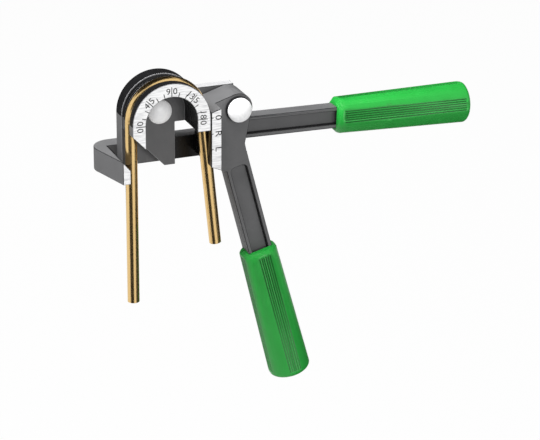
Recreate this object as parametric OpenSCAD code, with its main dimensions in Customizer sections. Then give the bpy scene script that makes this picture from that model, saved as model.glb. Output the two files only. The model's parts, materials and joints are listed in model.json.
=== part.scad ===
// Lever tube bender: a horseshoe bending form on a handle with a hook, a link that swings
// round the bend axis, and a lever with a grooved shoe that draws the tube round the form.
// Millimetres. X to the right, Y from the front face to the back, Z up.
// The origin is the bend centre, in the middle plane of the tube; the sizes below measure depth from the
// front face of the form.

/* [Tube] */
// Outside diameter of the tube
tube_d = 10; // [8:0.5:11]
// Wall of the tube
tube_wall = 1; // [0.6:0.1:2]
// Bend radius at the middle of the tube
bend_r = 30; // [28:0.5:32]
// Angle that the tube is bent to
bend_angle = 174.1; // [168:0.1:179]
// Fixed leg of the tube, down from the bend axis
fixed_leg = 156.5; // [80:0.5:200]
// Free leg of the tube, from the end of the bend
free_leg = 118; // [70:0.5:160]
// Amount that the tube thins in the bend
bend_thin = 0.03; // [0.02:0.01:0.08]

/* [Bending form] */
// Rim of the form beyond the bend radius
rim_rise = 3; // [2:0.1:5]
// Width of the marked ring
ring_w = 11; // [10:0.1:14]
// Depth of the form, front to back
form_t = 42; // [38:0.5:46]
// Thickness of the wall that closes the arch at the back
back_wall = 11; // [9:0.5:14]
// Distance of the tube groove behind the front face
groove_y = 14; // [10:0.1:15]
// Diameter of tube that the second groove takes
small_tube_d = 6; // [4:0.1:7]
// Distance of the second groove behind the front face
small_groove_y = 25.5; // [24:0.1:28]
// Length of the right leg below the bend axis
leg_drop = 10.6; // [6:0.1:11]
// Height at which the slanted cut meets the left side, below the bend axis
cut_drop = 8.3; // [5:0.1:10]
// Slope of the slanted cut
cut_angle = 46.5; // [42:0.5:50]
// Right edge of the post, from the bend axis
post_right = 13.4; // [11:0.1:16]
// Width of the foot under the left side of the form
foot_w = 10; // [9:0.1:11]

/* [Base handle] */
// Height of the hook bar
bar_h = 19.3; // [17:0.1:24]
// Top of the hook bar, below the bend axis
bar_drop = 28.2; // [26:0.1:32]
// Depth of the hook bar, front to back
bar_t = 15; // [13:0.1:18]
// Thickness of the hook's arm at its front end
hook_tip = 6.4; // [5:0.1:9]
// Angle of the hook's outer side
hook_flare = 15.5; // [10:0.5:22]
// Radius of the hook's outer corner
hook_corner_r = 16; // [12:0.5:20]
// Height of the slanted cut on the hook's inner edge
hook_cut_h = 7.7; // [4:0.1:10]
// Height of the handle bar
handle_h = 18.4; // [16:0.1:20]
// Depth of the handle bar, front to back
handle_t = 13.4; // [12:0.1:14.6]
// Centre of the handle bar below the bend axis, where it starts
handle_drop = 31.6; // [28:0.1:34]
// Distance from the bend axis to the start of the handle bar
handle_start = 68; // [60:0.5:75]
// Right end of the hook bar, from the bend axis
bar_end = 42; // [36:0.5:48]
// Set-back of the handle bar behind the hook bar, which lets the grips pass each other
handle_back = 9.2; // [8:0.1:11]
// Fall of the handle bar
handle_fall = 1.2; // [0:0.1:3]

/* [Lever] */
// Distance from the rim of the form to the lever pin
pin_reach = 29; // [27:0.1:32]
// Radius of the lever's head
head_r = 12.8; // [11.5:0.1:13]
// Depth of the step from the shoe's front face to the lever's face
lever_step = 14.4; // [12:0.1:16]
// Gap between the lever and the back of the form
lever_back_gap = 2; // [1.4:0.1:3]
// Width of the shoe's front face
shoe_w = 8.8; // [7:0.1:10]
// Top corner of the shoe above the bend axis
shoe_top = 4.5; // [3:0.1:5]
// Bottom corner of the shoe below the bend axis
shoe_drop = 42.5; // [36:0.5:46]
// Slope of the shoe's lower end
shoe_end_angle = 22.6; // [10:0.5:30]
// Angle of the lever's arm from the vertical
arm_angle = 14.7; // [10:0.1:18]
// Width of the lever's arm
arm_w = 21; // [18:0.1:22]
// Depth of the lever's arm, front to back
arm_t = 16; // [13:0.1:18]
// Offset of the arm's middle line from the lever pin, at the pin's height
arm_in = 12.8; // [10:0.1:15]
// Distance along the arm from the shoe's end to its recess
neck_run = 7.7; // [7:0.1:9]
// Height of the waist under the lever's head
waist_drop = 31; // [28:0.5:34]
// Distance that the waist stands out from the arm's edge
waist_out = 1.2; // [0.5:0.1:2]

/* [I-beam] */
// Thickness of the side flanges
flange = 3.2; // [2.4:0.1:4]
// Depth of each recess
recess = 4.6; // [3:0.1:5]
// Corner radius of the recess
recess_r = 4; // [2:0.1:5]

/* [Link] */
// Height of the link
link_h = 23.6; // [21:0.1:24]
// Thickness of the link
link_t = 9.2; // [8:0.1:12]
// Distance from the lever pin to the link's square end
link_end = 7; // [6.6:0.1:9]

/* [Pins] */
// Diameter of the centre pin
center_pin_d = 12; // [10:0.1:13]
// Diameter of the lever pin
lever_pin_d = 10; // [8:0.1:11]
// Diameter of both domed heads
pin_head_d = 20.4; // [18:0.1:22]
// Straight part of a domed head
pin_head_rim = 2.2; // [1.5:0.1:3]
// Height of the dome
dome_h = 4.6; // [2:0.1:6]
// Height of the dark collar under the lever pin's head
collar_h = 3; // [2:0.1:4]
// Wall of the bushes
bush_wall = 2.4; // [1.5:0.1:3]
// Thickness of the washers
washer_t = 1.5; // [1:0.1:2]
// Thickness of the thin washer behind the form
shim_t = 0.5; // [0.4:0.1:1]
// Height of the nuts
nut_h = 6; // [5:0.5:8]

/* [Form screws] */
// Diameter of the screws that hold the form
screw_d = 5; // [4:0.5:5.5]
// Length of the screws under the head
screw_l = 16; // [14:0.5:17]
// Diameter of the dowels between form and handle
dowel_d = 4; // [3:0.5:5]
// Length of the dowels
dowel_l = 14; // [10:0.5:16]
// Distance from the post's right side to its first screw and dowel
screw_edge = 5; // [4:0.5:6]
// Distance along the bar between the post's two screws
screw_step = 9; // [8:0.5:10]
// Distance of the screws from the bar's middle
screw_rise = 4; // [3.5:0.5:4.5]
// Distance of the dowels from the bar's middle
dowel_rise = 5; // [4.5:0.5:5.5]

/* [Grips] */
// Length of a grip
grip_l = 123; // [110:1:140]
// Diameter of a grip at its open end
grip_d1 = 31.9; // [30:0.1:33]
// Diameter of a grip at its closed end
grip_d2 = 36.2; // [33:0.1:36.5]
// Rounding of the closed end
grip_round = 3.5; // [2:0.5:8]
// Length of the chamfer at the open end
grip_chamfer = 3.4; // [2:0.1:5]
// Distance from the bend axis to the base grip
base_grip_x = 166.7; // [160:0.1:180]
// Distance along the arm to the lever grip
lever_grip_s = 132; // [125:1:140]
// Grooves in each ribbed band
ribs = 6; // [4:1:7]
// Pitch of the grooves
rib_pitch = 1.9; // [1.6:0.1:2]
// Width of a groove
rib_w = 1.1; // [0.6:0.1:1.3]
// Depth of a groove
rib_depth = 0.8; // [0.4:0.1:1]
// Turn of the base grip's bands from the front
base_grip_turn = 10; // [0:1:15]

/* [Clearances] */
// Gap round a running pin
run_gap = 0.05; // [0.02:0.01:0.1]
// Gap round a fixed pin, screw or bar
seat_gap = 0.02; // [0.01:0.01:0.05]
// Gap between flat faces that turn on each other
face_gap = 0.1; // [0.05:0.05:0.2]
// Gap between the form's groove and the tube
groove_gap = 0.1; // [0.05:0.05:0.3]
// Gap between the shoe's groove and the tube
shoe_gap = 0.4; // [0.3:0.05:0.6]
// Gap between the form's rim and the shoe
rim_gap = 0.7; // [0.5:0.1:1]
// Gap between the hook and the tube
hook_gap = 0.2; // [0.1:0.05:0.4]

/* [Hidden] */
$fn = 96;
over = 1;
tube_r = tube_d / 2;
form_r = bend_r + rim_rise;
arch_r = form_r - ring_w;
pin_span = form_r + pin_reach;
arm_offset = pin_span - arm_in;
link_r = link_h / 2;
lean = 180 - bend_angle;
bend_run = 1;
groove_r = tube_r + groove_gap;
small_groove_r = small_tube_d / 2 + groove_gap;
arch_t = form_t - back_wall;
post_bottom = -(bar_drop + bar_h);
cut_slope = tan(cut_angle);

bar_y0 = form_t;
bar_y1 = bar_y0 + bar_t;
bar_top = -bar_drop;
bar_bottom = post_bottom;
hook_in = -(bend_r + tube_r + hook_gap);
hook_out = hook_in - hook_tip;
hook_c = [(hook_out * cos(hook_flare) + hook_corner_r - (bar_y1 - hook_corner_r) * sin(hook_flare))
    / cos(hook_flare), bar_y1 - hook_corner_r];
hook_touch = hook_c - (hook_corner_r - 0.15) * [cos(hook_flare), sin(hook_flare)];
handle_y = bar_y0 + bar_t / 2 + handle_back;
bar_y = bar_y0 + bar_t / 2;
bar_z = bar_bottom + bar_h / 2;
grip_inset = 8;
handle_l = base_grip_x - handle_start + grip_l - grip_round - grip_inset;

lever_y0 = lever_step;
lever_y1 = form_t - lever_back_gap;
shoe_x = form_r + rim_gap;
arm_y = lever_y0 + arm_t / 2;
arm_dir = [sin(arm_angle), -cos(arm_angle)];
arm_side = [cos(arm_angle), sin(arm_angle)];
arm_end = lever_grip_s + grip_l - grip_round - grip_inset;
neck_s = shoe_drop + neck_run;
neck_lip = 4.1;
recess_lead = neck_s + 2;
recess_into_grip = 10;

link_y0 = form_t + shim_t + 2 * face_gap;
link_y1 = link_y0 + link_t;
center_r = center_pin_d / 2;
lever_r = lever_pin_d / 2;
center_bush_r = center_r + run_gap + bush_wall;
lever_bush_r = lever_r + run_gap + bush_wall;
washer_y0 = link_y1 + face_gap;
nut_y0 = washer_y0 + washer_t;
thread_out = 2;
head_l = pin_head_rim + dome_h;
pin_head_r = pin_head_d / 2;
spacer_t = link_y0 - lever_y1 - 2 * face_gap;
nut_ratio = 0.9;

screw_head_d = 1.65 * screw_d;
screw_head_h = screw_d;
screw_sink = 0.6;
screw_y = bar_y1 - screw_sink - screw_head_h;
screw_room = 1;
foot_x = -form_r + foot_w / 2;
screw_spots = [[post_right - screw_edge, bar_z - screw_rise],
    [post_right - screw_edge - screw_step, bar_z + screw_rise], [foot_x, bar_z + screw_rise]];
dowel_spots = [[post_right - screw_edge, bar_z + dowel_rise], [foot_x, bar_z - dowel_rise]];
dowel_y = bar_y0 - dowel_l / 2;

paint = [0.21, 0.21, 0.22];
steel = [0.86, 0.86, 0.87];
bronze = [0.72, 0.52, 0.27];
gold = [0.83, 0.68, 0.42];
green = [0.13, 0.55, 0.22];

// First point where the line from p touches a circle of radius r at c, on the left or right hand
function touch(p, c, r, hand) =
    let (d = c - p, a = atan2(d[1], d[0]) + hand * asin(r / norm(d)))
    p + sqrt(d * d - r * r) * [cos(a), sin(a)];

// Point on the lever's arm, along its middle line and across it
function on_arm(along, across) = [arm_offset, 0] + along * arm_dir + across * arm_side;

// An outline drawn in X and Z, raised along Y
module slab(y0, y1) {
    translate([0, y1, 0]) rotate([90, 0, 0]) linear_extrude(y1 - y0) children();
}

// A cylinder along Y
module rod(r, y0, y1, at = [0, 0]) {
    translate([at[0], y0, at[1]]) rotate([-90, 0, 0]) cylinder(r = r, h = y1 - y0);
}

// A ring along Y
module ring(r, bore, y0, y1, at = [0, 0]) {
    difference() {
        rod(r, y0, y1, at);
        rod(bore, y0 - over, y1 + over, at);
    }
}

// A hexagon nut along Y
module nut(pin_r, y0, at) {
    difference() {
        translate([at[0], y0, at[1]]) rotate([-90, 0, 0]) cylinder(r = pin_r / nut_ratio * 1.65, h = nut_h, $fn = 6);
        rod(pin_r + seat_gap, y0 - over, y0 + nut_h + over, at);
    }
}

// A pin along Y with a domed head to the front
module domed_pin(r, seat_y, end_y, at) {
    dome_r = (pin_head_r * pin_head_r + dome_h * dome_h) / (2 * dome_h);
    translate([at[0], seat_y - head_l, at[1]]) rotate([-90, 0, 0]) rotate_extrude() {
        translate([0, dome_h]) square([r, end_y - seat_y + pin_head_rim]);
        intersection() {
            square([pin_head_r, head_l]);
            translate([0, dome_r]) circle(r = dome_r);
        }
    }
}

// Outline of the whole form: half disc, right leg and post, less the slanted cut
module form_outline() {
    difference() {
        union() {
            intersection() {
                circle(r = form_r);
                translate([-form_r, 0]) square([2 * form_r, form_r]);
            }
            translate([-form_r, -leg_drop]) square([2 * form_r, leg_drop]);
            translate([-form_r, post_bottom]) square([form_r + post_right, -post_bottom]);
        }
        polygon([[-form_r - over, -cut_drop + over * cut_slope],
            [-form_r + (-post_bottom + over - cut_drop) / cut_slope, post_bottom - over],
            [-form_r - over, post_bottom - over]]);
    }
}

// Space inside the arch
module arch_outline() {
    circle(r = arch_r);
    translate([-arch_r, post_bottom - over]) square([2 * arch_r, -post_bottom + over]);
}

// Round groove over the form and down both legs, open at the rim
module groove_cut(r, path_r, y) {
    open = form_r - path_r + over;
    rotate([90, 0, 0]) rotate_extrude(angle = 180) translate([path_r, -y]) {
        circle(r = r);
        translate([0, -r]) square([open, 2 * r]);
    }
    for (side = [-1, 1]) {
        translate([side * path_r, y, post_bottom]) cylinder(r = r, h = -post_bottom);
        translate([side * (path_r + open / 2) - open / 2, y - r, post_bottom]) cube([open, 2 * r, -post_bottom]);
    }
}

module bending_form() {
    color(paint) difference() {
        union() {
            slab(0, arch_t + over) difference() {
                form_outline();
                arch_outline();
            }
            slab(arch_t, form_t) form_outline();
            translate([-form_r, small_groove_y + small_groove_r, post_bottom])
                cube([foot_w, form_t - small_groove_y - small_groove_r, -post_bottom]);
        }
        groove_cut(groove_r, bend_r, groove_y);
        groove_cut(small_groove_r, form_r, small_groove_y);
        rod(center_r + seat_gap, arch_t - over, form_t + over);
        for (at = screw_spots) rod(screw_d / 2 + seat_gap, screw_y - screw_l - screw_room, form_t + over, at);
        for (at = dowel_spots) rod(dowel_d / 2 + seat_gap, dowel_y - seat_gap, form_t + over, at);
    }
}

// Plan of the hook and its bar
module hook_plan() {
    difference() {
        union() {
            translate(hook_c) circle(r = hook_corner_r);
            polygon([[hook_in, 0], [hook_out, 0], hook_touch, hook_c, [hook_in, bar_y1]]);
            translate([hook_c[0], bar_y0]) square([bar_end - hook_c[0], bar_t]);
        }
        translate([hook_in, -over]) square([bar_end - hook_in + over, bar_y0 + over]);
    }
}

// Recess of an I-beam: a rounded slot along X, from x0 to x1, w wide
module beam_recess(x0, x1, w, depth) {
    linear_extrude(depth) {
        translate([x0 + recess_r, -w / 2]) square([x1 - x0 - recess_r, w]);
        translate([x0, -w / 2 + recess_r]) square([2 * recess_r, w - 2 * recess_r]);
        for (side = [-1, 1]) translate([x0 + recess_r, side * (w / 2 - recess_r)]) circle(r = recess_r);
    }
}

// Places the handle bar's own frame: X along the bar, Y across its height, Z to the front
module on_handle() {
    translate([handle_start, handle_y, -handle_drop]) rotate([0, handle_fall, 0]) rotate([90, 0, 0]) children();
}

// Places the arm's own frame: X along the arm, Y across its width, Z to the front
module on_lever_arm() {
    translate([arm_offset, arm_y, 0]) rotate([0, 90 - arm_angle, 0]) rotate([90, 0, 0]) children();
}

// The two recesses that make a bar along X, w by t, an I-beam
module beam_recesses(w, t, x0, x1) {
    for (side = [0, 1]) mirror([0, 0, side]) translate([0, 0, t / 2 - recess])
        beam_recess(x0, x1, w - 2 * flange, recess + t);
}

module base_handle() {
    jog_top = -handle_drop + handle_h / 2;
    color(paint) difference() {
        union() {
            translate([0, 0, bar_bottom]) linear_extrude(bar_h) hook_plan();
            intersection() {
                slab(bar_y0, handle_y + handle_t) polygon([[bar_end - over, bar_top], [handle_start, jog_top],
                    [handle_start + over, jog_top], [handle_start + over, jog_top - handle_h],
                    [handle_start, jog_top - handle_h], [bar_end - over, bar_bottom]]);
                translate([0, 0, bar_bottom - over]) linear_extrude(bar_h + 4 * handle_h) polygon([
                    [bar_end - over, bar_y - handle_t / 2], [handle_start, handle_y - handle_t / 2],
                    [handle_start + over, handle_y - handle_t / 2], [handle_start + over, handle_y + handle_t / 2],
                    [handle_start, handle_y + handle_t / 2], [bar_end - over, bar_y + handle_t / 2]]);
            }
            on_handle() translate([0, -handle_h / 2, -handle_t / 2]) cube([handle_l, handle_h, handle_t]);
        }
        on_handle() beam_recesses(handle_h, handle_t, flange + recess_r,
            base_grip_x - handle_start + recess_into_grip);
        slab(-over, bar_y0) polygon([[hook_out, bar_top], [hook_in, bar_top - hook_cut_h],
            [hook_in + over, bar_top - hook_cut_h], [hook_in + over, bar_top + over], [hook_out, bar_top + over]]);
        for (at = screw_spots) {
            rod(screw_d / 2 + seat_gap, bar_y0 - over, bar_y1 + over, at);
            rod(screw_head_d / 2 + seat_gap, screw_y, bar_y1 + over, at);
        }
        for (at = dowel_spots) rod(dowel_d / 2 + seat_gap, bar_y0 - over, dowel_y + dowel_l + seat_gap, at);
    }
}

module form_screws() {
    key_d = 0.95 * screw_d;
    color(steel) for (at = screw_spots) difference() {
        union() {
            rod(screw_d / 2, screw_y - screw_l, screw_y + over, at);
            rod(screw_head_d / 2, screw_y, screw_y + screw_head_h, at);
        }
        translate([at[0], screw_y + screw_head_h / 2, at[1]]) rotate([-90, 0, 0])
            cylinder(d = key_d, h = screw_head_h, $fn = 6);
    }
}

module form_dowels() {
    color(steel) for (at = dowel_spots) rod(dowel_d / 2, dowel_y, dowel_y + dowel_l, at);
}

// Grip along X from its open end, over a bar of w by t that ends at bar_l, its bands turned about the bar
module grip(w, t, bar_l, turn) {
    r1 = grip_d1 / 2;
    r2 = grip_d2 / 2;
    side_l = grip_l - grip_round;
    taper = atan((r2 - r1) / side_l);
    flat_in = 0.9;
    rib_from = grip_chamfer + 1.5;
    rib_to = side_l - 1;
    mouth = rib_w / 2 * (1 + over / rib_depth);
    rotate([0, 90, 0]) difference() {
        union() {
            cylinder(r1 = r1 - grip_chamfer, r2 = r1, h = grip_chamfer);
            translate([0, 0, grip_chamfer]) cylinder(r1 = r1, r2 = r2, h = side_l - grip_chamfer);
            translate([0, 0, side_l]) rotate_extrude() intersection() {
                translate([r2 - grip_round, 0]) circle(r = grip_round);
                square([r2, grip_round]);
            }
            translate([0, 0, side_l]) cylinder(r = r2 - grip_round, h = grip_round);
        }
        for (band = [0:3]) rotate([0, 0, 90 * band - turn]) translate([r1 - flat_in, 0, 0]) rotate([0, taper, 0]) {
            translate([0, -r2, -over]) cube([r2, 2 * r2, side_l + 2 * grip_round]);
            for (i = [0:ribs - 1]) translate([0, (i - (ribs - 1) / 2) * rib_pitch, rib_from])
                linear_extrude(rib_to - rib_from)
                    polygon([[-rib_depth, 0], [over, -mouth], [over, mouth]]);
        }
        translate([-t / 2 - seat_gap, -w / 2 - seat_gap, -over])
            cube([t + 2 * seat_gap, w + 2 * seat_gap, bar_l + over + seat_gap]);
    }
}

module base_grip() {
    start = base_grip_x - handle_start;
    color(green) on_handle() translate([start, 0, 0]) grip(handle_h, handle_t, handle_l - start, base_grip_turn);
}

module center_pin() {
    color(steel) domed_pin(center_r, arch_t, nut_y0 + nut_h + thread_out, [0, 0]);
}

module center_shim() {
    color(steel) ring(link_r, center_r + seat_gap, form_t + face_gap, form_t + face_gap + shim_t);
}

module center_bush() {
    color(bronze) ring(center_bush_r, center_r + run_gap, link_y0, link_y1);
}

module center_washer() {
    color(steel) ring(link_r - 0.8, center_r + seat_gap, washer_y0, nut_y0);
}

module center_nut() {
    color(steel) nut(center_r, nut_y0, [0, 0]);
}

module link() {
    color(steel) difference() {
        slab(link_y0, link_y1) {
            circle(r = link_r);
            translate([0, -link_r]) square([pin_span + link_end, link_h]);
        }
        rod(center_bush_r + seat_gap, link_y0 - over, link_y1 + over);
        rod(lever_r + seat_gap, link_y0 - over, link_y1 + over, [pin_span, 0]);
    }
}

// Head and shoe of the lever, seen from the front
module lever_head_outline() {
    pin = [pin_span, 0];
    shoulder = [shoe_x, shoe_top];
    waist = [on_arm(waist_drop, arm_w / 2 + waist_out)[0], -waist_drop];
    lower = [shoe_x, -shoe_drop];
    edge_r = 0.985 * head_r;
    inset = arm_w / 2 - 0.6;
    translate(pin) circle(r = head_r);
    polygon([shoulder, touch(shoulder, pin, edge_r, 1), pin, touch(waist, pin, edge_r, -1), waist,
        on_arm(neck_s + 3, inset), on_arm(neck_s + 3, -inset), on_arm(neck_s, -arm_w / 2 - neck_lip),
        lower + shoe_w * [1, -tan(shoe_end_angle)], lower]);
}

// Arm of the lever, seen from the front
module arm_outline() {
    polygon([on_arm(shoe_drop, arm_w / 2), on_arm(arm_end, arm_w / 2), on_arm(arm_end, -arm_w / 2),
        on_arm(shoe_drop, -arm_w / 2)]);
}

// Front face of the shoe
module shoe_outline() {
    intersection() {
        lever_head_outline();
        translate([shoe_x, -2 * shoe_drop]) square([shoe_w, 3 * shoe_drop]);
    }
}

// Groove in the shoe, along the tube's free leg, flared at its upper end
module shoe_groove() {
    flare = 4;
    reach = shoe_drop + head_r;
    r = tube_r + shoe_gap;
    translate([0, groove_y, 0]) {
        rotate([0, -lean, 0]) translate([bend_r, 0, -1.5 * reach]) cylinder(r = r, h = 2 * reach);
        translate([bend_r, 0, 0]) rotate([0, flare, 0]) translate([0, 0, -shoe_top])
            cylinder(r = r + shoe_gap, h = reach);
    }
}

module lever() {
    color(paint) difference() {
        union() {
            slab(0, lever_y0 + over) shoe_outline();
            slab(lever_y0, lever_y0 + arm_t) {
                lever_head_outline();
                arm_outline();
            }
            slab(lever_y0 + arm_t - over, lever_y1) lever_head_outline();
        }
        shoe_groove();
        on_lever_arm() beam_recesses(arm_w, arm_t, recess_lead, lever_grip_s + recess_into_grip);
        rod(lever_bush_r + seat_gap, lever_y0 - over, lever_y1 + over, [pin_span, 0]);
    }
}

module lever_bush() {
    color(bronze) ring(lever_bush_r, lever_r + run_gap, lever_y0, lever_y1, [pin_span, 0]);
}

module lever_pin() {
    color(steel) domed_pin(lever_r, lever_y0 - 2 * face_gap - collar_h, nut_y0 + nut_h + thread_out, [pin_span, 0]);
}

module lever_collar() {
    color(paint) ring(pin_head_r + 0.6, lever_r + seat_gap, lever_y0 - face_gap - collar_h, lever_y0 - face_gap,
        [pin_span, 0]);
}

module lever_spacer() {
    color(steel) ring(link_r - 1, lever_r + seat_gap, lever_y1 + face_gap, lever_y1 + face_gap + spacer_t, [pin_span, 0]);
}

module lever_washer() {
    color(steel) ring(link_r - 2.2, lever_r + seat_gap, washer_y0, nut_y0, [pin_span, 0]);
}

module lever_nut() {
    color(steel) nut(lever_r, nut_y0, [pin_span, 0]);
}

module lever_grip() {
    color(green) on_lever_arm() translate([lever_grip_s, 0, 0]) grip(arm_w, arm_t, arm_end - lever_grip_s, 0);
}

// Solid bar of radius r along the tube's middle line, longer by more at both ends; the bend is drawn in a
// little and runs on into both legs
module tube_path(r, more) {
    rotate([90, 0, 0]) rotate([0, 0, lean - bend_run]) rotate_extrude(angle = bend_angle + 2 * bend_run)
        translate([bend_r, 0]) circle(r = r - bend_thin);
    rotate([0, -lean, 0]) translate([bend_r, 0, -free_leg - more]) cylinder(r = r, h = free_leg + more);
    translate([-bend_r, 0, -fixed_leg - more]) cylinder(r = r, h = fixed_leg + more);
}

module tube() {
    color(gold) translate([0, groove_y, 0]) difference() {
        tube_path(tube_r, 0);
        tube_path(tube_r - tube_wall, over);
    }
}

// Moves the part so that the origin lies in the middle plane of the tube
module placed() {
    translate([0, -groove_y, 0]) children();
}

placed() bending_form();
placed() base_handle();
placed() form_screws();
placed() form_dowels();
placed() base_grip();
placed() center_pin();
placed() center_shim();
placed() center_bush();
placed() center_washer();
placed() center_nut();
placed() link();
placed() lever();
placed() lever_bush();
placed() lever_pin();
placed() lever_collar();
placed() lever_spacer();
placed() lever_washer();
placed() lever_nut();
placed() lever_grip();
placed() tube();
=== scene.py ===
"""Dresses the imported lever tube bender: painted castings with machined faces, marks, grips, pins and the tube.

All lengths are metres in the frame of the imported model: X along the fixed handle, Y from the marked face to
the back, Z up, with the origin at the bend centre in the middle plane of the tube.
"""

from __future__ import annotations

import json
import logging
import math
from collections.abc import Callable
from dataclasses import dataclass, field
from enum import Enum, IntEnum

import bmesh
import bpy
from mathutils import Matrix, Vector

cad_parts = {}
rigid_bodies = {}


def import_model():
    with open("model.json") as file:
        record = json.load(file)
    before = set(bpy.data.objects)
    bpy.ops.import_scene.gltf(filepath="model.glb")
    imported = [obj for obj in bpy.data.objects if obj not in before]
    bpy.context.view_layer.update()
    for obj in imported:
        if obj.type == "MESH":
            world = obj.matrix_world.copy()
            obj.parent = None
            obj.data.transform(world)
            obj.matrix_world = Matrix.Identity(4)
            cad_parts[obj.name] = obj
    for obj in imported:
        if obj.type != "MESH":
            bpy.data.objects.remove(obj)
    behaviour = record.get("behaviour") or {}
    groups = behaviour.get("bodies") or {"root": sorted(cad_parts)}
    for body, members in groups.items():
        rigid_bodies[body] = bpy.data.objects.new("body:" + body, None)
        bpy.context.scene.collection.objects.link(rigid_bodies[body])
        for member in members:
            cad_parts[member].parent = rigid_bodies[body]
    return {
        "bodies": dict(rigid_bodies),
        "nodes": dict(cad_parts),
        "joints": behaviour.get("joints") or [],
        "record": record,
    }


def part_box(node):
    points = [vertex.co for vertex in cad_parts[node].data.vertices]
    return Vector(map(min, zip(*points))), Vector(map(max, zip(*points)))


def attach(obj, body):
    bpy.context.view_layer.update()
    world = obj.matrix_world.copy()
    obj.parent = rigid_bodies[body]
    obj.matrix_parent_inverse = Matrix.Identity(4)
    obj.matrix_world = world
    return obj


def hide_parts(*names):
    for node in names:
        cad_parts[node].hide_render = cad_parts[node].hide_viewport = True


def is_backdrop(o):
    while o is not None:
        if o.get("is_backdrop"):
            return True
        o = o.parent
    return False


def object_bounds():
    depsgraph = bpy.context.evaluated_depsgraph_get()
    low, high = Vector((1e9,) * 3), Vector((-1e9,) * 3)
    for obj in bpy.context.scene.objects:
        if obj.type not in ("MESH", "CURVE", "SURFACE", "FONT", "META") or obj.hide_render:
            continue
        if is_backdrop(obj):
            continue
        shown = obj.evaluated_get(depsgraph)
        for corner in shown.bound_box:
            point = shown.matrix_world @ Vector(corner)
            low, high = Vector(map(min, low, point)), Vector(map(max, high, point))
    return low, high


LOG = logging.getLogger("tube_bender")
MM = 0.001
NOISE_LOW = 0.3
NOISE_HIGH = 0.7
Triple = tuple[float, float, float]
Rgb = Triple
Span = tuple[float, float]
FaceTest = Callable[[Vector, Vector], bool]


def tone(red: int, green: int, blue: int) -> Rgb:
    """Linear colour of a display colour given from 0 to 255.

    Args:
        red: Red part.
        green: Green part.
        blue: Blue part.

    Returns:
        The three linear parts, from 0 to 1.
    """
    parts = (value / 255.0 for value in (red, green, blue))
    return tuple(p / 12.92 if p <= 0.04045 else ((p + 0.055) / 1.055) ** 2.4 for p in parts)


class Body(Enum):
    """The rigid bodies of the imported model."""

    BASE = "base"
    LINK = "link"
    LEVER = "lever"


class Axis(Enum):
    """Direction in which the marks of a tool run on a surface."""

    X = (0.1, 1.0, 1.0)
    Z = (1.0, 1.0, 0.02)


class NodeDesk:
    """Lays shader nodes into one new material and wires them."""

    def __init__(self, name: str) -> None:
        """Starts a material with a principled surface.

        Args:
            name: Name of the material.
        """
        self.material = bpy.data.materials.new(name)
        self.material.use_nodes = True
        self.tree = self.material.node_tree
        self.surface = self.tree.nodes["Principled BSDF"]
        self.place = self.add("ShaderNodeTexCoord").outputs["Object"]

    def add(self, kind: str) -> bpy.types.Node:
        """Adds a node of the type that Blender calls by this name."""
        return self.tree.nodes.new(kind)

    def wire(self, source: bpy.types.NodeSocket, target: bpy.types.NodeSocket) -> None:
        """Links one socket to another."""
        self.tree.links.new(source, target)

    def noise(self, scale: float, detail: float = 3.0,
              stretch: Triple = (1.0, 1.0, 1.0)) -> bpy.types.NodeSocket:
        """Adds noise in object space.

        Args:
            scale: Scale of the noise, per metre.
            detail: Octaves of detail.
            stretch: Factor on each axis.

        Returns:
            The socket with the noise from 0 to 1.
        """
        mapping = self.add("ShaderNodeMapping")
        mapping.inputs["Scale"].default_value = stretch
        self.wire(self.place, mapping.inputs["Vector"])
        noise = self.add("ShaderNodeTexNoise")
        noise.inputs["Scale"].default_value = scale
        noise.inputs["Detail"].default_value = detail
        self.wire(mapping.outputs["Vector"], noise.inputs["Vector"])
        return noise.outputs["Fac"]

    def colour(self, source: bpy.types.NodeSocket, dark: Rgb, light: Rgb, high: float = NOISE_HIGH) -> None:
        """Colours the surface between two colours by a noise.

        Args:
            source: Noise to read.
            dark: Colour at the low end of the noise.
            light: Colour at its high end.
            high: Noise that already gives the light colour.
        """
        ramp = self.add("ShaderNodeValToRGB")
        first, last = ramp.color_ramp.elements
        first.position, last.position = NOISE_LOW, high
        first.color, last.color = (*dark, 1.0), (*light, 1.0)
        self.wire(source, ramp.inputs["Fac"])
        self.wire(ramp.outputs["Color"], self.surface.inputs["Base Color"])

    def roughen(self, source: bpy.types.NodeSocket, span: Span) -> None:
        """Varies the roughness of the surface by a noise.

        Args:
            source: Noise to read.
            span: Roughness at the low and the high end of the noise.
        """
        remap = self.add("ShaderNodeMapRange")
        limits = {"From Min": NOISE_LOW, "From Max": NOISE_HIGH, "To Min": span[0], "To Max": span[1]}
        for key, value in limits.items():
            remap.inputs[key].default_value = value
        self.wire(source, remap.inputs["Value"])
        self.wire(remap.outputs["Result"], self.surface.inputs["Roughness"])

    def bump(self, source: bpy.types.NodeSocket, depth: float, strength: float) -> None:
        """Raises the surface by a value.

        Args:
            source: Height from 0 to 1.
            depth: Height of 1, in metres.
            strength: Share of the bump that shows.
        """
        bump = self.add("ShaderNodeBump")
        bump.inputs["Distance"].default_value = depth
        bump.inputs["Strength"].default_value = strength
        self.wire(source, bump.inputs["Height"])
        self.wire(bump.outputs["Normal"], self.surface.inputs["Normal"])

    def set(self, **values: float) -> None:
        """Sets plain sockets of the surface, with underscores for the spaces in their names."""
        for key, value in values.items():
            self.surface.inputs[key.replace("_", " ")].default_value = value


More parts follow.
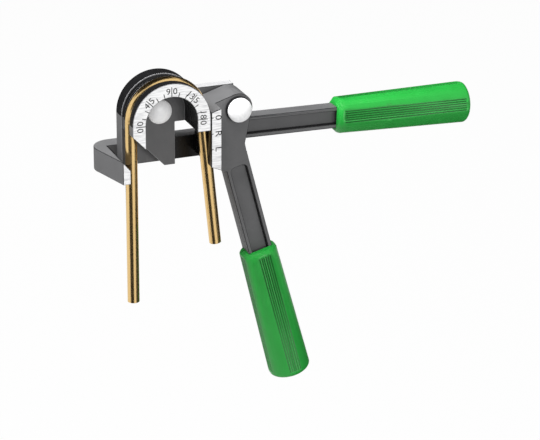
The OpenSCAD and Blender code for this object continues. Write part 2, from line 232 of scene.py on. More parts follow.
@dataclass(frozen=True)
class PaintedCasting:
    """Grey paint with a fine cast grain, or the same paint in another tone and gloss, which also gives painted
    shade and painted highlights.

    Attributes:
        name: Name of the material.
        dark: Its darker colour.
        light: Its lighter colour.
        roughness: Its lowest and highest roughness.
        gloss: Level of its reflection.
        clouds: Scale of its change of colour, per metre.
        grain: Scale of the cast grain, per metre.
        grain_depth: Depth of the grain.
    """

    name: str = "grey_paint"
    dark: Rgb = field(default_factory=lambda: tone(88, 88, 89))
    light: Rgb = field(default_factory=lambda: tone(96, 96, 97))
    roughness: Span = (0.46, 0.56)
    gloss: float = 0.3
    clouds: float = 60.0
    grain: float = 900.0
    grain_depth: float = 0.03 * MM

    def make(self) -> bpy.types.Material:
        """Builds the material.

        Returns:
            The new material.
        """
        desk = NodeDesk(self.name)
        clouds = desk.noise(self.clouds)
        desk.colour(clouds, self.dark, self.light)
        desk.roughen(clouds, self.roughness)
        desk.bump(desk.noise(self.grain, detail=4.0), self.grain_depth, strength=0.2)
        desk.set(Specular_IOR_Level=self.gloss)
        return desk.material


@dataclass(frozen=True)
class MachinedFace:
    """Bare metal with the marks of the cutter that faced it.

    Attributes:
        name: Name of the material.
        dark: Its darker colour.
        light: Its lighter colour.
        lay: Direction of the cutter's marks.
        roughness: Its lowest and highest roughness.
        metal: Share of metal in the surface.
        strokes: Scale of the marks, per metre.
        light_from: Noise past which the colour is the lighter one.
        stroke_depth: Depth of the marks.
    """

    name: str = "machined_face"
    dark: Rgb = field(default_factory=lambda: tone(198, 198, 200))
    light: Rgb = field(default_factory=lambda: tone(240, 240, 240))
    lay: Axis = Axis.X
    roughness: Span = (0.42, 0.56)
    metal: float = 0.1
    strokes: float = 850.0
    light_from: float = 0.56
    stroke_depth: float = 0.02 * MM

    def make(self) -> bpy.types.Material:
        """Builds the material.

        Returns:
            The new material.
        """
        desk = NodeDesk(self.name)
        strokes = desk.noise(self.strokes, stretch=self.lay.value)
        desk.colour(strokes, self.dark, self.light, self.light_from)
        desk.roughen(strokes, self.roughness)
        desk.bump(strokes, self.stroke_depth, strength=0.3)
        desk.set(Metallic=self.metal)
        return desk.material


@dataclass(frozen=True)
class TurnedSteel:
    """Turned steel of washers and nuts, or the same in another tone: white domes, black screws, bronze.

    Attributes:
        name: Name of the material.
        dark: Its darker colour.
        light: Its lighter colour.
        roughness: Its lowest and highest roughness.
        metal: Share of metal in the surface.
        haze: Scale of its change of colour, per metre.
    """

    name: str = "turned_steel"
    dark: Rgb = field(default_factory=lambda: tone(172, 174, 178))
    light: Rgb = field(default_factory=lambda: tone(192, 194, 197))
    roughness: Span = (0.3, 0.36)
    metal: float = 0.6
    haze: float = 500.0

    def make(self) -> bpy.types.Material:
        """Builds the material.

        Returns:
            The new material.
        """
        desk = NodeDesk(self.name)
        haze = desk.noise(self.haze, detail=4.0)
        desk.colour(haze, self.dark, self.light)
        desk.roughen(haze, self.roughness)
        desk.set(Metallic=self.metal)
        return desk.material


@dataclass(frozen=True)
class GripPlastic:
    """Green moulded plastic with a faint grain.

    Attributes:
        name: Name of the material.
        dark: Its darker colour.
        light: Its lighter colour.
        roughness: Its lowest and highest roughness.
        gloss: Level of its reflection.
        clouds: Scale of its change of colour, per metre.
        grain: Scale of the grain, per metre.
        grain_depth: Depth of the grain.
    """

    name: str = "green_grip"
    dark: Rgb = field(default_factory=lambda: tone(29, 144, 51))
    light: Rgb = field(default_factory=lambda: tone(32, 150, 55))
    roughness: Span = (0.38, 0.44)
    gloss: float = 0.42
    clouds: float = 90.0
    grain: float = 1600.0
    grain_depth: float = 0.015 * MM

    def make(self) -> bpy.types.Material:
        """Builds the material.

        Returns:
            The new material.
        """
        desk = NodeDesk(self.name)
        clouds = desk.noise(self.clouds)
        desk.colour(clouds, self.dark, self.light)
        desk.roughen(clouds, self.roughness)
        desk.bump(desk.noise(self.grain), self.grain_depth, strength=0.15)
        desk.set(Specular_IOR_Level=self.gloss)
        return desk.material


@dataclass(frozen=True)
class DrawnTube:
    """Yellow tube metal with faint drawing lines along its legs.

    Attributes:
        name: Name of the material.
        dark: Its darker colour.
        light: Its lighter colour.
        roughness: Its lowest and highest roughness.
        lines: Scale of the drawing lines, per metre.
    """

    name: str = "drawn_tube"
    dark: Rgb = field(default_factory=lambda: tone(224, 188, 126))
    light: Rgb = field(default_factory=lambda: tone(235, 202, 142))
    roughness: Span = (0.2, 0.215)
    lines: float = 1400.0

    def make(self) -> bpy.types.Material:
        """Builds the material.

        Returns:
            The new material.
        """
        desk = NodeDesk(self.name)
        lines = desk.noise(self.lines, detail=1.0, stretch=Axis.Z.value)
        desk.colour(lines, self.dark, self.light)
        desk.roughen(lines, self.roughness)
        desk.set(Metallic=1.0)
        return desk.material


@dataclass(frozen=True)
class MarkInk:
    """Black filling of the engraved marks.

    Attributes:
        name: Name of the material.
        dark: Its darker colour.
        light: Its lighter colour.
        roughness: Its roughness.
        gloss: Level of its reflection.
        grain: Scale of its change of colour, per metre.
    """

    name: str = "mark_ink"
    dark: Rgb = field(default_factory=lambda: tone(12, 12, 12))
    light: Rgb = field(default_factory=lambda: tone(26, 26, 26))
    roughness: float = 0.7
    gloss: float = 0.1
    grain: float = 700.0

    def make(self) -> bpy.types.Material:
        """Builds the material.

        Returns:
            The new material.
        """
        desk = NodeDesk(self.name)
        desk.colour(desk.noise(self.grain), self.dark, self.light)
        desk.set(Roughness=self.roughness, Specular_IOR_Level=self.gloss)
        return desk.material


class Paintbox:
    """Makes each finish once and hands it out."""

    def __init__(self) -> None:
        """Makes all finishes."""
        self.paint = PaintedCasting().make()
        # Black paint on the form's rims, and painted shade in its grooves, inside its arch, on the wall behind
        # the arch, on the recess walls and in the shoe's groove.
        self.black = PaintedCasting("black_paint_and_painted_shade", tone(17, 17, 18), tone(22, 22, 23),
                                    roughness=(0.22, 0.3), gloss=0.2).make()
        self.seam = PaintedCasting("dark_edge", tone(40, 40, 41), tone(46, 46, 47),
                                   roughness=(0.5, 0.6), gloss=0.2).make()
        # Pale grey on the form's rounded edges: a painted highlight along the lips of its flanges and grooves.
        self.edge_highlight = PaintedCasting("pale_painted_highlight", tone(118, 118, 120), tone(128, 128, 130),
                                  roughness=(0.3, 0.4), gloss=0.4).make()
        self.face = MachinedFace().make()
        self.link_top = MachinedFace("link_top", tone(158, 158, 160), tone(178, 178, 179)).make()
        self.steel = TurnedSteel().make()
        self.dome = TurnedSteel("polished_dome", tone(249, 249, 250), tone(253, 253, 253),
                                roughness=(0.3, 0.34), metal=0.0).make()
        self.black_steel = TurnedSteel("black_steel", tone(34, 34, 36), tone(50, 50, 52),
                                       roughness=(0.4, 0.5), metal=0.6).make()
        self.bronze = TurnedSteel("bush_bronze", tone(150, 108, 52), tone(182, 136, 72),
                                  roughness=(0.3, 0.42), metal=0.9).make()
        self.grip = GripPlastic().make()
        # Darker green on the walls of the grips' grooves: painted shade.
        self.groove = GripPlastic("grip_groove_painted_shade", tone(17, 98, 34), tone(20, 104, 38)).make()
        self.tube = DrawnTube().make()
        self.ink = MarkInk().make()


@dataclass(frozen=True)
class GripAxis:
    """Middle line of a grip and its bar, which tells the grip's grooves and the walls of the bar's recess.

    Attributes:
        place: A point on the line.
        way: Direction of the line, towards the grip's end.
        lean: Angle past which a face leans enough to be the wall of a groove.
        core: Radius inside which nothing is a groove.
        start: Distance along the line before which nothing is a wall of the recess.
        aside: Distance from the line inside which nothing is a wall of the recess.
        turned: Cosine past which a face counts as turned to a direction.
    """

    place: Triple
    way: Triple
    lean: float = math.radians(30.0)
    core: float = 12.0 * MM
    start: float = 10.0 * MM
    aside: float = 1.0 * MM
    turned: float = 0.5

    def wall(self, at: Vector, normal: Vector, side: float) -> bool:
        """Tests whether a face is a wall of the recess in the bar, which is painted black as shade.

        Args:
            at: Middle of the face.
            normal: Normal of the face.
            side: 1 for the wall above or right of the middle line, -1 for the other.

        Returns:
            True where the face looks at the middle line from that side.
        """
        axis = Vector(self.way).normalized()
        across = Vector((-axis.z, 0.0, axis.x)) * side
        arm = at - Vector(self.place)
        beside = arm.dot(axis) > self.start and arm.dot(across) > self.aside
        return beside and normal.dot(across) < -self.turned

    def groove(self, at: Vector, normal: Vector) -> bool:
        """Tests whether a face is the wall of a groove.

        Args:
            at: Middle of the face.
            normal: Normal of the face.

        Returns:
            True where the face leans away from the radius through it.
        """
        axis = Vector(self.way).normalized()
        arm = at - Vector(self.place)
        out = arm - axis * arm.dot(axis)
        flank = normal - axis * normal.dot(axis)
        if abs(normal.dot(axis)) > self.turned or out.length < self.core:
            return False
        return out.angle(flank) > self.lean


class Slot(IntEnum):
    """Places of the finishes in a dressed mesh."""

    PLAIN = 0
    MACHINED = 1
    # Darker faces: black paint, and painted shade in hollows.
    DARK_AND_SHADE = 2
    RIM = 3


@dataclass
class DressedNode:
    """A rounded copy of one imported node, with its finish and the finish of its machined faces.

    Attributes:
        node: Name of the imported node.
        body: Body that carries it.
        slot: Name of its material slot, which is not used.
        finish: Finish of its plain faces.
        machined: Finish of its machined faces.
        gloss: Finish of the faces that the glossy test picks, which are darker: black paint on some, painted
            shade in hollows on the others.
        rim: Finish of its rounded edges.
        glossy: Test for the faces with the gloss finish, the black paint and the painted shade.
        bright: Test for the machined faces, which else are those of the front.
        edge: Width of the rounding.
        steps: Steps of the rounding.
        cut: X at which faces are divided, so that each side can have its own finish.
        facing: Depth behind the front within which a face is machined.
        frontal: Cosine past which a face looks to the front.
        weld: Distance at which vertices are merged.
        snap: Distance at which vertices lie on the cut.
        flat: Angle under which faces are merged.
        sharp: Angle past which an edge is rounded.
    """

    node: str
    body: Body
    slot: str
    finish: bpy.types.Material
    machined: bpy.types.Material | None = None
    gloss: bpy.types.Material | None = None
    rim: bpy.types.Material | None = None
    glossy: FaceTest | None = None
    bright: FaceTest | None = None
    edge: float = 0.35 * MM
    steps: int = 2
    cut: float | None = None
    facing: float = 0.05 * MM
    frontal: float = 0.99
    weld: float = 0.002 * MM
    snap: float = 0.001 * MM
    flat: float = math.radians(0.4)
    sharp: float = math.radians(32.0)

    def finishes(self) -> list[bpy.types.Material]:
        """Lists the finishes in the order of the mesh's slots.

        Returns:
            The plain, machined, glossy and rim finishes, each the plain one where it isn't set.
        """
        return [self.finish, *(m or self.finish for m in (self.machined, self.gloss, self.rim))]

    def slot_of(self, place: Vector, way: Vector, front: float) -> int:
        """Chooses the finish of one face.

        Args:
            place: Middle of the face.
            way: Normal of the face.
            front: Y of the node's front face.

        Returns:
            The slot of its finish.
        """
        if self.bright:
            bare = self.bright(place, way)
        else:
            bare = way.y < -self.frontal and abs(place.y - front) < self.facing
        if bare:
            return Slot.MACHINED
        return Slot.DARK_AND_SHADE if self.glossy and self.glossy(place, way) else Slot.PLAIN

    def build(self, frame: dict) -> bpy.types.Object:
        """Copies the node's mesh, rounds its edges and puts it in the node's place.


        Returns:
            The new object.
        """
        mesh = bpy.data.meshes.new(f"{self.node}_shell")
        bm = bmesh.new()
        bm.from_mesh(frame["nodes"][self.node].data)
        bmesh.ops.remove_doubles(bm, verts=bm.verts, dist=self.weld)
        bmesh.ops.dissolve_degenerate(bm, edges=bm.edges, dist=self.weld)
        bmesh.ops.dissolve_limit(bm, angle_limit=self.flat, verts=bm.verts, edges=bm.edges)
        if self.cut is not None:
            bmesh.ops.bisect_plane(bm, geom=[*bm.verts, *bm.edges, *bm.faces], dist=self.snap,
                                   plane_co=(self.cut, 0.0, 0.0), plane_no=(1.0, 0.0, 0.0))
        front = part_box(self.node)[0][1]
        for face in bm.faces:
            face.smooth = True
            face.material_index = self.slot_of(face.calc_center_median(), face.normal, front)
        bm.to_mesh(mesh)
        bm.free()
        for finish in self.finishes():
            mesh.materials.append(finish)
        mesh.set_sharp_from_angle(angle=self.sharp)
        shell = bpy.data.objects.new(f"{self.node}_shell", mesh)
        bpy.context.scene.collection.objects.link(shell)
        if self.edge:
            bevel = shell.modifiers.new("edge", "BEVEL")
            bevel.width, bevel.segments = self.edge, self.steps
            bevel.limit_method, bevel.angle_limit = "ANGLE", self.sharp
            bevel.harden_normals, bevel.use_clamp_overlap = True, False
            bevel.material = Slot.RIM if self.rim else -1
        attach(shell, self.body.value)
        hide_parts(self.node)
        return shell


class MarkPlate:
    """Collects flat marks on one face and makes them one thin mesh.

    Attributes:
        CAPITAL: Height of a capital letter against the size of the font.
        CURVE_STEPS: Steps in each curve of a letter.
        WELD: Distance at which vertices are merged.
    """

    CAPITAL = 0.7
    CURVE_STEPS = 4
    WELD = 0.001 * MM

    def __init__(self, name: str, front: float, depth: float = 0.1 * MM, proud: float = 0.03 * MM) -> None:
        """Starts an empty plate of marks.

        Args:
            name: Name of the piece.
            front: Y of the face that carries the marks.
            depth: Depth of the marks in the face.
            proud: How far the filling stands out of the face.
        """
        self.name = name
        self.front = front
        self.depth = depth
        self.proud = proud
        self.mesh = bmesh.new()

    def turn(self, x: float, z: float, angle: float) -> Matrix:
        """Placement of a flat mark, drawn in X and Y, on the face.

        Args:
            x: X of the mark's own origin.
            z: Z of the mark's own origin.
            angle: Turn of the mark, seen from the front and against the clock.

        Returns:
            The matrix that places the mark.
        """
        lift = Matrix.Translation((x, self.front, z))
        return lift @ Matrix.Rotation(-angle, 4, "Y") @ Matrix.Rotation(math.radians(90.0), 4, "X")

    def tick(self, x: float, z: float, angle: float, start: float, end: float, width: float) -> None:
        """Adds a straight line along a direction from a point.

        Args:
            x: X of the point.
            z: Z of the point.
            angle: Direction of the line.
            start: Distance of the line's start from the point.
            end: Distance of the line's end from the point.
            width: Width of the line.
        """
        size = Matrix.Diagonal((end - start, width, self.depth + self.proud, 1.0))
        middle = Matrix.Translation(((start + end) / 2.0, 0.0, (self.proud - self.depth) / 2.0))
        bmesh.ops.create_cube(self.mesh, size=1.0, matrix=self.turn(x, z, angle) @ middle @ size)

    def letter(self, text: str, x: float, z: float, angle: float, height: float,
               squeeze: float = 1.05) -> None:
        """Adds a letter or number, centred on a point.

        Args:
            text: What is written.
            x: X of its middle.
            z: Z of its middle.
            angle: Direction of its line of writing.
            height: Height of a capital letter.
            squeeze: Width against the normal width.
        """
        curve = bpy.data.curves.new(f"{self.name}_letter", "FONT")
        curve.body = text
        curve.size = height / self.CAPITAL
        curve.align_x, curve.align_y = "CENTER", "CENTER"
        curve.extrude = (self.depth + self.proud) / 2.0
        curve.resolution_u = self.CURVE_STEPS
        writing = bpy.data.objects.new(f"{self.name}_letter", curve)
        bpy.context.scene.collection.objects.link(writing)
        shaped = writing.evaluated_get(bpy.context.evaluated_depsgraph_get())
        flat = bpy.data.meshes.new_from_object(shaped)
        middle = Matrix.Translation((0.0, 0.0, (self.proud - self.depth) / 2.0))
        flat.transform(self.turn(x, z, angle) @ middle @ Matrix.Diagonal((squeeze, 1.0, 1.0, 1.0)))
        self.mesh.from_mesh(flat)
        bpy.data.objects.remove(writing)
        bpy.data.curves.remove(curve)
        bpy.data.meshes.remove(flat)

    def finish(self, body: Body, ink: bpy.types.Material) -> bpy.types.Object:
        """Makes the collected marks one piece.

        Args:
            body: Body that carries them.
            ink: Their material.

        Returns:
            The new object.
        """
        bmesh.ops.remove_doubles(self.mesh, verts=self.mesh.verts, dist=self.WELD)
        bmesh.ops.recalc_face_normals(self.mesh, faces=self.mesh.faces)
        data = bpy.data.meshes.new(self.name)
        self.mesh.to_mesh(data)
        self.mesh.free()
        data.materials.append(ink)
        plate = bpy.data.objects.new(self.name, data)
        bpy.context.scene.collection.objects.link(plate)
        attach(plate, body.value)
        return plate


@dataclass
class AngleScale:
    """Angle marks on the form's front face: ticks every fifteen degrees and split numbers.

    Attributes:
        inner: Inner radius of the face.
        outer: Outer radius of the face.
        short: Reach of a tick without a number, from the inner radius.
        line: Width of a tick.
        height: Height of a number.
        label_r: Radius of the middle of a number.
        apart: Distance of the middle of each half of a number from its tick.
        wide: Factor on that distance for a half of two digits.
        rim_gap: Gap from a numbered tick to the outer radius.
        start_gap: Gap from the inner radius to a tick.
        step: Degrees from tick to tick.
        last: Degrees of the last tick.
        labels: Degrees of each number, and its halves left and right of the tick.
    """

    inner: float = 22.0 * MM
    outer: float = 33.0 * MM
    short: float = 4.0 * MM
    line: float = 0.62 * MM
    height: float = 5.2 * MM
    label_r: float = 26.5 * MM
    apart: float = 2.9 * MM
    wide: float = 1.4
    rim_gap: float = 2.7 * MM
    start_gap: float = 0.1 * MM
    step: int = 15
    last: int = 180
    labels: tuple[tuple[int, str, str], ...] = (
        (0, "0", "0"), (45, "4", "5"), (90, "9", "0"), (135, "13", "5"), (180, "18", "0"))

    def build(self, ink: bpy.types.Material) -> bpy.types.Object:
        """Builds the marks.

        Args:
            ink: Material of the marks.

        Returns:
            The new object.
        """
        plate = MarkPlate("angle_marks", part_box("bending_form")[0][1])
        numbered = {angle for angle, _, _ in self.labels}
        start = self.inner + self.start_gap
        for angle in range(0, self.last + 1, self.step):
            end = self.outer - self.rim_gap if angle in numbered else self.inner + self.short
            plate.tick(0.0, 0.0, math.radians(180 - angle), start, end, self.line)
        for angle, left, right in self.labels:
            turn = math.radians(90 - angle)
            across = Vector((math.cos(turn), math.sin(turn)))
            out = Vector((-across.y, across.x)) * self.label_r
            for text, side in ((left, -1.0), (right, 1.0)):
                spot = out + across * side * self.apart * (1.0 if len(text) == 1 else self.wide)
                plate.letter(text, spot.x, spot.y, turn, self.height)
        return plate.finish(Body.BASE, ink)


@dataclass
class ShoeMarks:
    """Marks on the shoe's front strip, with their tops to the right.

    Attributes:
        left: X of the strip's left edge.
        middle: X of the middle of the letters.
        tick: Start and end of a tick, from the left edge.
        line: Width of a tick.
        height: Height of a letter.
        squeeze: Width of a letter against its normal width.
        marks: Each letter and its height on the strip.
    """

    left: float = 33.7 * MM
    middle: float = 39.4 * MM
    tick: Span = (0.3 * MM, 1.7 * MM)
    line: float = 0.62 * MM
    height: float = 5.2 * MM
    squeeze: float = 1.2
    marks: tuple[tuple[str, float], ...] = (("0", 0.0), ("R", -13.7 * MM), ("L", -27.0 * MM))

    def build(self, ink: bpy.types.Material) -> bpy.types.Object:
        """Builds the marks.

        Args:
            ink: Material of the marks.

        Returns:
            The new object.
        """
        plate = MarkPlate("shoe_marks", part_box("lever")[0][1])
        for text, z in self.marks:
            plate.tick(self.left, z, 0.0, *self.tick, self.line)
            plate.letter(text, self.middle, z, math.radians(-90.0), self.height, self.squeeze)
        return plate.finish(Body.LEVER, ink)


@dataclass
class TubeBender:
    """All dressed pieces of the tool.

    Attributes:
        paints: All finishes.
        handle: Middle line of the fixed handle.
        arm: Middle line of the lever's arm.
        groove_z: Height above which the form's sides are black.
        foot_x: X right of which the form's sides are black.
        wall_x: X of the left and right end of the wall behind the arch, which is painted black as shade.
        shoe_x: X left of which the shoe's groove lies.
        shoe_z: Height above which the shoe's groove lies.
        facing: Cosine past which a face looks along Y.
        leftward: Cosine past which a face looks to the left.
        level: Cosine up to which a face of the shoe's groove may look up or down.
        upward: Cosine past which a face looks up.
    """

    frame: dict
    paints: Paintbox
    handle: GripAxis = GripAxis((68.0 * MM, 44.7 * MM, -31.6 * MM), (0.99978, 0.0, -0.02094))
    arm: GripAxis = GripAxis((49.2 * MM, 8.4 * MM, 0.0), (0.25376, 0.0, -0.96727))
    groove_z: float = -1.0 * MM
    foot_x: float = -22.5 * MM
    wall_x: Span = (5.0 * MM, 45.0 * MM)
    shoe_x: float = 45.0 * MM
    shoe_z: float = -44.0 * MM
    facing: float = 0.95
    leftward: float = 0.2
    level: float = 0.7
    upward: float = 0.9

    def form_black_and_shade(self, at: Vector, way: Vector) -> bool:
        """Tests whether a face of the form lies on its rims, its grooves or inside its arch.

        Args:
            at: Middle of the face.
            way: Normal of the face.

        Returns:
            True for a face painted black: black paint on the rims, painted shade in the grooves and inside the
                arch.
        """
        return abs(way.y) < self.facing and (at.z > self.groove_z or at.x > self.foot_x)

    def handle_painted_shade(self, at: Vector, way: Vector) -> bool:
        """Tests whether a face of the handle is the wall behind the arch or the recess's lower wall.

        Args:
            at: Middle of the face.
            way: Normal of the face.

        Returns:
            True for a face that is painted black as shade.
        """
        # The bar's front behind the arch and the recess's lower wall are painted black as shade.
        behind = way.y < -self.facing and self.wall_x[0] < at.x < self.wall_x[1]
        return behind or self.handle.wall(at, way, -1.0)

    def lever_painted_shade(self, at: Vector, way: Vector) -> bool:
        """Tests whether a face of the lever is the shoe's groove or the recess's right wall.

        Args:
            at: Middle of the face.
            way: Normal of the face.

        Returns:
            True for a face that is painted black as shade.
        """
        # The shoe's groove and the recess's right wall are painted black as shade.
        sideways = way.x < -self.leftward and abs(way.z) < self.level
        shoe = sideways and at.x < self.shoe_x and at.z > self.shoe_z
        return shoe or self.arm.wall(at, way, 1.0)

    def pieces(self) -> list[DressedNode]:
        """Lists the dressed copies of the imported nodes.

        Returns:
            One entry per node.
        """
        box = self.paints
        return [
            # The form's rounded edges get the painted highlight; its black faces are black paint on the rims and
            # painted shade in the grooves and inside the arch.
            DressedNode("bending_form", Body.BASE, "casting", box.paint, box.face, box.black, box.edge_highlight,
                        self.form_black_and_shade, edge=0.4 * MM),
            DressedNode("base_handle", Body.BASE, "casting", box.paint, box.face, box.black, box.seam,
                        self.handle_painted_shade, edge=0.45 * MM, cut=self.wall_x[0]),
            DressedNode("lever", Body.LEVER, "casting", box.paint, box.face, box.black, box.seam,
                        self.lever_painted_shade, edge=0.45 * MM),
            DressedNode("link", Body.LINK, "bright_steel", box.paint, box.link_top, rim=box.seam,
                        bright=lambda at, way: way.z > self.upward),
            # The walls of the grips' grooves get the darker green of painted shade.
            DressedNode("base_grip", Body.BASE, "grip", box.grip, gloss=box.groove,
                        glossy=self.handle.groove, edge=0.0),
            DressedNode("lever_grip", Body.LEVER, "grip", box.grip, gloss=box.groove,
                        glossy=self.arm.groove, edge=0.0),
            DressedNode("center_pin", Body.BASE, "bright_steel", box.dome),
            DressedNode("lever_pin", Body.LINK, "bright_steel", box.dome),
            DressedNode("lever_collar", Body.LINK, "dark_steel", box.black_steel),
            DressedNode("tube", Body.BASE, "tube", box.tube, edge=0.1 * MM),
            DressedNode("center_nut", Body.BASE, "bright_steel", box.steel),
            DressedNode("lever_nut", Body.LINK, "bright_steel", box.steel),
            DressedNode("center_washer", Body.BASE, "bright_steel", box.steel, edge=0.2 * MM),
            DressedNode("lever_washer", Body.LINK, "bright_steel", box.steel, edge=0.2 * MM),
            DressedNode("form_screws", Body.BASE, "dark_steel", box.black_steel, edge=0.2 * MM),
        ]

    def paint_hidden(self) -> None:
        """Gives the nodes that keep their own mesh their finish."""
        plain = {
            "form_dowels": self.paints.black_steel,
            "center_shim": self.paints.steel,
            "center_bush": self.paints.bronze,
            "lever_bush": self.paints.bronze,
            "lever_spacer": self.paints.steel,
        }
        for node, finish in plain.items():
            mesh = self.frame["nodes"][node].data
            mesh.materials.clear()
            mesh.materials.append(finish)
            LOG.info("painted %s", node)

    def build(self) -> None:
        """Builds every piece."""
        for piece in self.pieces():
            shell = piece.build(self.frame)
            LOG.info("dressed %s with %d faces", shell.name, len(shell.data.polygons))
        for marks in (AngleScale(), ShoeMarks()):
            LOG.info("marked %s", marks.build(self.paints.ink).name)
        self.paint_hidden()


@dataclass(frozen=True)
class PhotoCamera:
    """The camera of the photograph, in the frame of the model.

    Attributes:
        place: Where it stands.
        azimuth: Degrees from Y towards X at which it looks.
        elevation: Degrees by which it looks down.
        roll: Degrees by which it is turned about its line of sight.
        focal_px: Focal length in pixels of the photo.
        width_px: Width of the photo in pixels.
        sensor_mm: Width of the sensor in millimetres.
        reach: Distance to which it sees.
    """

    place: Triple = (-0.55626, -1.57763, 0.59900)
    azimuth: float = 22.305
    elevation: float = 22.349
    roll: float = 0.535
    focal_px: float = 2207.6
    width_px: float = 540.0
    sensor_mm: float = 36.0
    reach: float = 20.0

    def build(self) -> bpy.types.Object:
        """Makes the camera and hands it to the scene.

        Returns:
            The camera object.
        """
        az, el, ro = (math.radians(a) for a in (self.azimuth, self.elevation, self.roll))
        ahead = Vector((math.sin(az) * math.cos(el), math.cos(az) * math.cos(el), -math.sin(el)))
        right = Vector((math.cos(az), -math.sin(az), 0.0))
        up = right.cross(ahead)
        side = right * math.cos(ro) + up * math.sin(ro)
        top = up * math.cos(ro) - right * math.sin(ro)
        data = bpy.data.cameras.new("photo_camera")
        data.sensor_fit, data.sensor_width = "HORIZONTAL", self.sensor_mm
        data.lens = self.focal_px / self.width_px * self.sensor_mm
        data.clip_end = self.reach
        camera = bpy.data.objects.new("photo_camera", data)
        turn = Matrix((side, top, -ahead)).transposed().to_4x4()
        camera.matrix_world = Matrix.Translation(self.place) @ turn
        bpy.context.scene.collection.objects.link(camera)
        bpy.context.scene.camera = camera
        return camera


@dataclass(frozen=True)
class SoftLamp:
    """One square soft lamp that points at the tool.

    Attributes:
        name: Name of the lamp.
        place: Where it stands.
        size: Length of its side.
        watts: Its power.
        glossy: Whether it shows in reflections.
        aim: Point at which it is aimed.
    """

    name: str
    place: Triple
    size: float
    watts: float
    glossy: bool = True
    aim: Triple = (0.08, 0.02, -0.06)

    def build(self) -> None:
        """Makes the lamp."""
        data = bpy.data.lights.new(self.name, "AREA")
        data.shape, data.size, data.energy = "SQUARE", self.size, self.watts
        lamp = bpy.data.objects.new(self.name, data)
        lamp.location = self.place
        lamp.visible_glossy = self.glossy
        ahead = Vector(self.aim) - Vector(self.place)
        lamp.rotation_euler = ahead.to_track_quat("-Z", "Y").to_euler()
        bpy.context.scene.collection.objects.link(lamp)


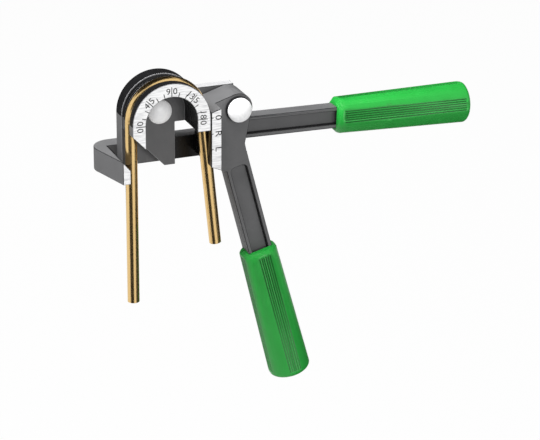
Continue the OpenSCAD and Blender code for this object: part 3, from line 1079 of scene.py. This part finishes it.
@dataclass(frozen=True)
class DarkCard:
    """A dark card beside the tool that only shows in its reflections.

    Attributes:
        name: Name of the card.
        place: Where its middle is.
        width: Its width.
        height: Its height.
    """

    name: str
    place: Triple
    width: float
    height: float

    def build(self, finish: bpy.types.Material) -> None:
        """Makes the card, facing the tool.

        Args:
            finish: Material of the card.
        """
        bm = bmesh.new()
        turn = Vector(self.place).to_track_quat("Z", "Y").to_matrix().to_4x4()
        size = Matrix.Diagonal((self.width, self.height, 1.0, 1.0))
        bmesh.ops.create_grid(bm, x_segments=1, y_segments=1, size=0.5,
                              matrix=Matrix.Translation(self.place) @ turn @ size)
        data = bpy.data.meshes.new(self.name)
        bm.to_mesh(data)
        bm.free()
        data.materials.append(finish)
        card = bpy.data.objects.new(self.name, data)
        for ray in ("camera", "diffuse", "transmission", "shadow"):
            setattr(card, f"visible_{ray}", False)
        bpy.context.scene.collection.objects.link(card)
        card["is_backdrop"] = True


@dataclass
class Studio:
    """White background, pale floor, soft lamps and dark cards.

    Attributes:
        ambient: Strength of the world as a light.
        floor_gap: Distance of the floor below the tool.
        floor_size: Length of the floor's side.
        floor_white: Share of plain white in the floor, as the camera sees it.
        floor_grey: Colour of the floor as a surface.
        floor_rough: Roughness of the floor.
        lamps: The lamps.
        cards: The dark cards.
    """

    ambient: float = 0.27
    floor_gap: float = 0.30
    floor_size: float = 12.0
    floor_white: float = 0.97
    floor_grey: float = 0.5
    floor_rough: float = 0.9
    lamps: tuple[SoftLamp, ...] = (
        SoftLamp("top_lamp", (-0.45, 0.0, 1.0), 0.9, 34.0, glossy=False),
        SoftLamp("front_lamp", (0.25, -1.9, 0.4), 1.0, 19.0),
        SoftLamp("back_lamp", (0.3, 1.8, 0.6), 1.0, 10.0, glossy=False),
    )
    cards: tuple[DarkCard, ...] = (
        DarkCard("back_card", (0.0, 0.9, 0.2), 1.5, 1.4),
        DarkCard("top_card", (-0.14, 0.25, 0.8), 1.4, 1.1),
        DarkCard("front_card", (-0.54, -0.6, -0.43), 1.0, 0.46),
        DarkCard("upper_card", (-0.236, -0.882, 0.407), 2.2, 0.78),
        DarkCard("right_card", (0.9, -0.1, -0.38), 0.9, 0.5),
        DarkCard("high_card", (0.85, 0.3, 0.45), 1.2, 0.8),
        DarkCard("low_card", (0.3, -0.05, -0.48), 0.9, 0.7),
        DarkCard("leg_card", (-0.27, -0.32, -0.44), 0.5, 0.25),
    )

    @staticmethod
    def seen(tree: bpy.types.NodeTree) -> bpy.types.NodeSocket:
        """Adds the test for rays from the camera, a gloss or glass.

        Args:
            tree: Node tree that gets the test.

        Returns:
            Socket that is 1 for such a ray.
        """
        path = tree.nodes.new("ShaderNodeLightPath")
        total = path.outputs["Is Camera Ray"]
        for kind in ("Is Glossy Ray", "Is Transmission Ray"):
            either = tree.nodes.new("ShaderNodeMath")
            either.operation = "MAXIMUM"
            tree.links.new(total, either.inputs[0])
            tree.links.new(path.outputs[kind], either.inputs[1])
            total = either.outputs[0]
        return total

    def world(self) -> None:
        """Makes the world: white to the camera, dimmer as a light."""
        world = bpy.data.worlds.new("studio")
        world.use_nodes = True
        tree = world.node_tree
        back = tree.nodes["Background"]
        back.inputs["Color"].default_value = (1.0, 1.0, 1.0, 1.0)
        level = tree.nodes.new("ShaderNodeMapRange")
        level.inputs["To Min"].default_value = self.ambient
        level.inputs["To Max"].default_value = 1.0
        tree.links.new(self.seen(tree), level.inputs["Value"])
        tree.links.new(level.outputs["Result"], back.inputs["Strength"])
        bpy.context.scene.world = world

    def floor(self, low: float) -> None:
        """Makes the pale floor under the tool.

        Args:
            low: Height of the tool's lowest point.
        """
        material = bpy.data.materials.new("pale_floor")
        material.use_nodes = True
        tree = material.node_tree
        matte = tree.nodes["Principled BSDF"]
        matte.inputs["Base Color"].default_value = (*[self.floor_grey] * 3, 1.0)
        matte.inputs["Roughness"].default_value = self.floor_rough
        glow = tree.nodes.new("ShaderNodeEmission")
        mix = tree.nodes.new("ShaderNodeMixShader")
        share = tree.nodes.new("ShaderNodeMapRange")
        share.inputs["To Max"].default_value = self.floor_white
        tree.links.new(self.seen(tree), share.inputs["Value"])
        tree.links.new(share.outputs["Result"], mix.inputs["Fac"])
        tree.links.new(matte.outputs["BSDF"], mix.inputs[1])
        tree.links.new(glow.outputs["Emission"], mix.inputs[2])
        tree.links.new(mix.outputs["Shader"], tree.nodes["Material Output"].inputs["Surface"])
        bm = bmesh.new()
        bmesh.ops.create_grid(bm, x_segments=1, y_segments=1, size=self.floor_size / 2.0,
                              matrix=Matrix.Translation((0.0, 0.0, low - self.floor_gap)))
        data = bpy.data.meshes.new("pale_floor")
        bm.to_mesh(data)
        bm.free()
        data.materials.append(material)
        floor = bpy.data.objects.new("pale_floor", data)
        bpy.context.scene.collection.objects.link(floor)
        floor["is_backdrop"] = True

    def build(self, low: float, card: bpy.types.Material) -> None:
        """Makes the whole studio.

        Args:
            low: Height of the tool's lowest point.
            card: Material of the dark cards.
        """
        self.world()
        self.floor(low)
        for lamp in self.lamps:
            lamp.build()
        for dark in self.cards:
            dark.build(card)


def main() -> None:
    logging.basicConfig(level=logging.INFO, format="%(name)s %(message)s")
    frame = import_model()
    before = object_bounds()
    bpy.context.scene.view_settings.view_transform = "Standard"
    PhotoCamera().build()
    paints = Paintbox()
    TubeBender(frame, paints).build()
    Studio().build(before[0][2], paints.seam)
    bpy.context.view_layer.update()


if __name__ == "__main__":
    main()
